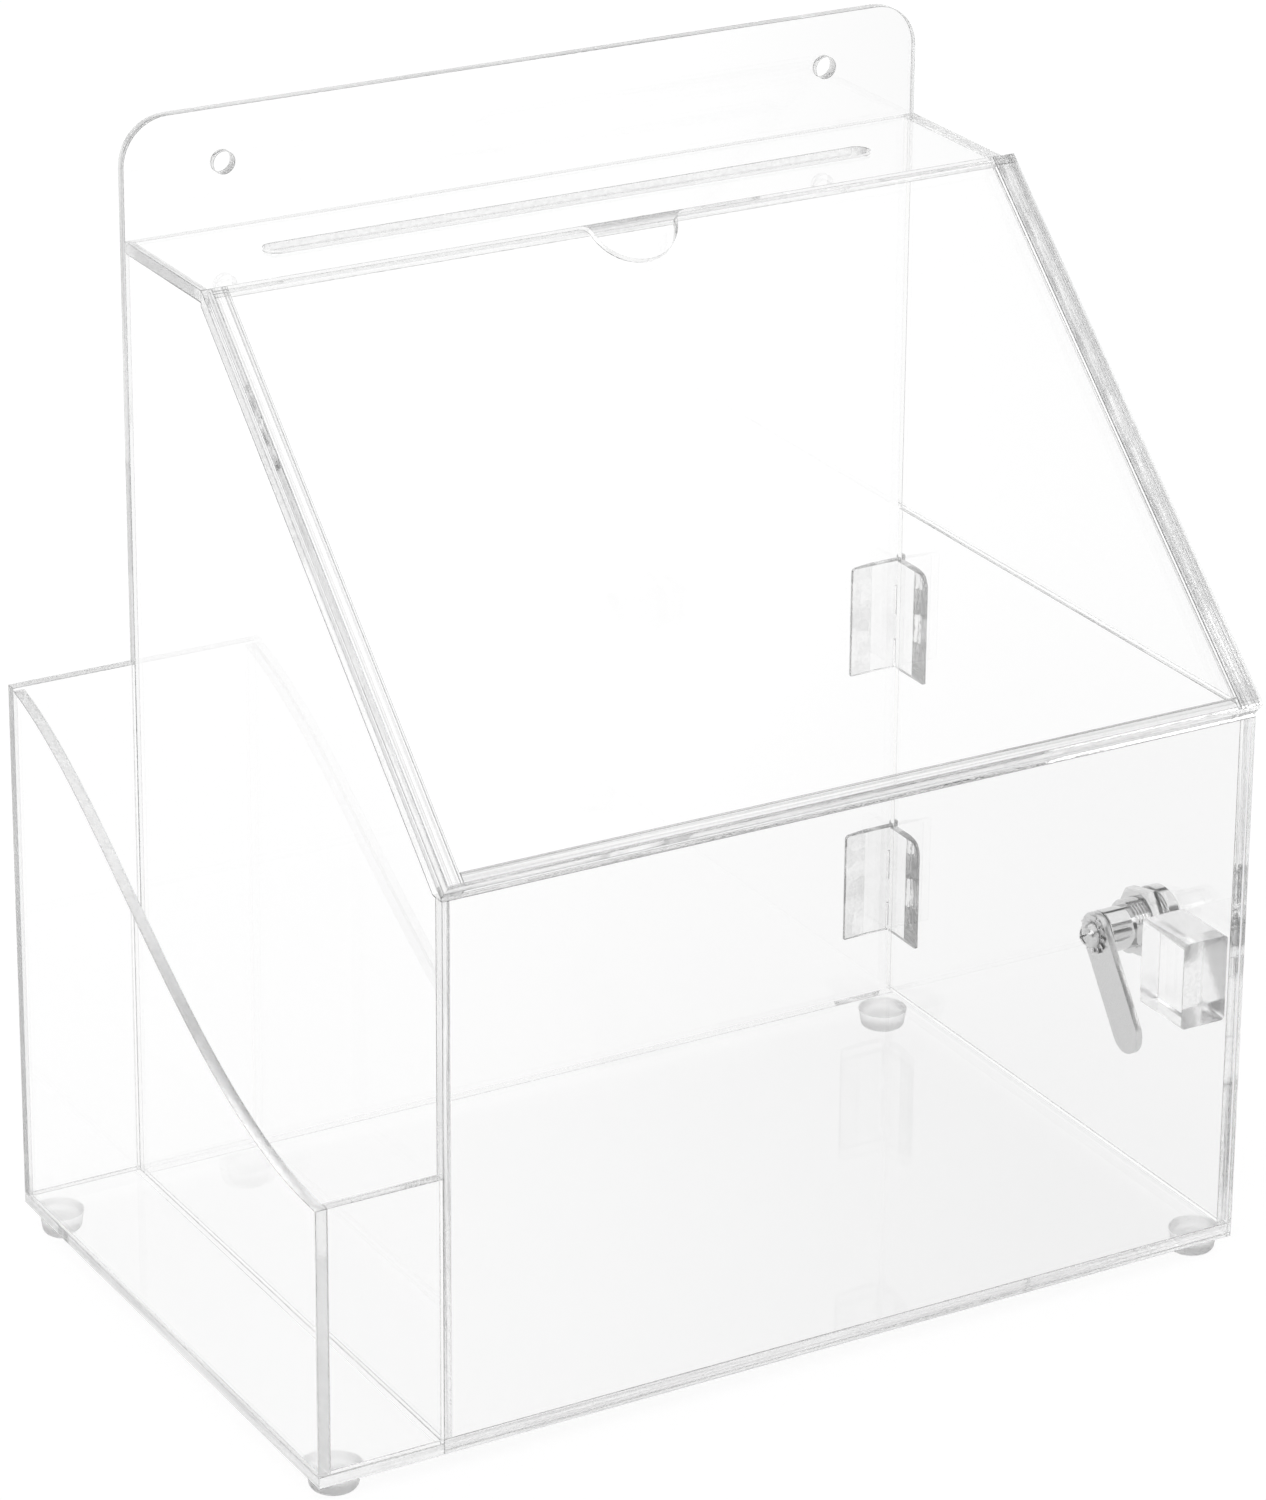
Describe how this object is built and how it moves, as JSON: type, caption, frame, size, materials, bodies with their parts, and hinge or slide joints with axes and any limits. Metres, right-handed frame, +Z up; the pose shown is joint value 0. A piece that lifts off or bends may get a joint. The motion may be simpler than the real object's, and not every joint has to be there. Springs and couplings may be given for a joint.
{
  "type": "ballot box",
  "caption": "Clear acrylic ballot box with a slot in its flat top, a sloped sign holder, a side pocket and a side door with a cam lock.",
  "frame": {"origin": "middle of the whole outline, at the level the feet stand on", "axes": "+Z up; -Y is the front, which the sign on the slope faces; +X is the side with the door, -X the side with the pocket"},
  "size_m": [0.35, 0.23, 0.3837],
  "materials": {
    "clear_acrylic": "clear cast acrylic, polished faces, flame-polished cut edges",
    "moulded_hinge": "clear injection-moulded plastic",
    "silicone": "frosted translucent silicone",
    "nickel_plate": "bright nickel plate on die-cast zinc",
    "zinc_steel": "satin zinc-plated steel"
  },
  "bodies": {
    "box": {"base_plate": "clear_acrylic", "front_panel": "clear_acrylic", "back_panel": "clear_acrylic", "left_wall": "clear_acrylic", "upper_right_wall": "clear_acrylic", "top_panel": "clear_acrylic", "slope_panel": "clear_acrylic", "left_spacer": "clear_acrylic", "right_spacer": "clear_acrylic", "bottom_spacer": "clear_acrylic", "cover_sheet": "clear_acrylic", "pocket_base": "clear_acrylic", "pocket_side": "clear_acrylic", "pocket_front": "clear_acrylic", "pocket_back": "clear_acrylic", "catch_block": "clear_acrylic", "foot_front_left": "silicone", "foot_front_right": "silicone", "foot_back_left": "silicone", "foot_back_right": "silicone", "upper_box_leaf": "moulded_hinge", "upper_hinge_pin": "moulded_hinge", "lower_box_leaf": "moulded_hinge", "lower_hinge_pin": "moulded_hinge"},
    "door": {"door_panel": "clear_acrylic", "lock_body": "nickel_plate", "lock_nut": "nickel_plate", "upper_door_leaf": "moulded_hinge", "lower_door_leaf": "moulded_hinge"},
    "cam": {"lock_plug": "nickel_plate", "cam": "zinc_steel", "cam_washer": "zinc_steel", "cam_screw": "zinc_steel"}
  },
  "joints": [
    {"name": "door_swing", "type": "hinge", "parent": "box", "child": "door", "pos_m": [0.172, 0.112, 0.1042], "axis": [0, 0, 1], "range_deg": [0, 180]},
    {"name": "lock_turn", "type": "hinge", "parent": "door", "child": "cam", "pos_m": [0.1455, -0.059, 0.1042], "axis": [1, 0, 0], "range_deg": [-55, 35]}
  ]
}
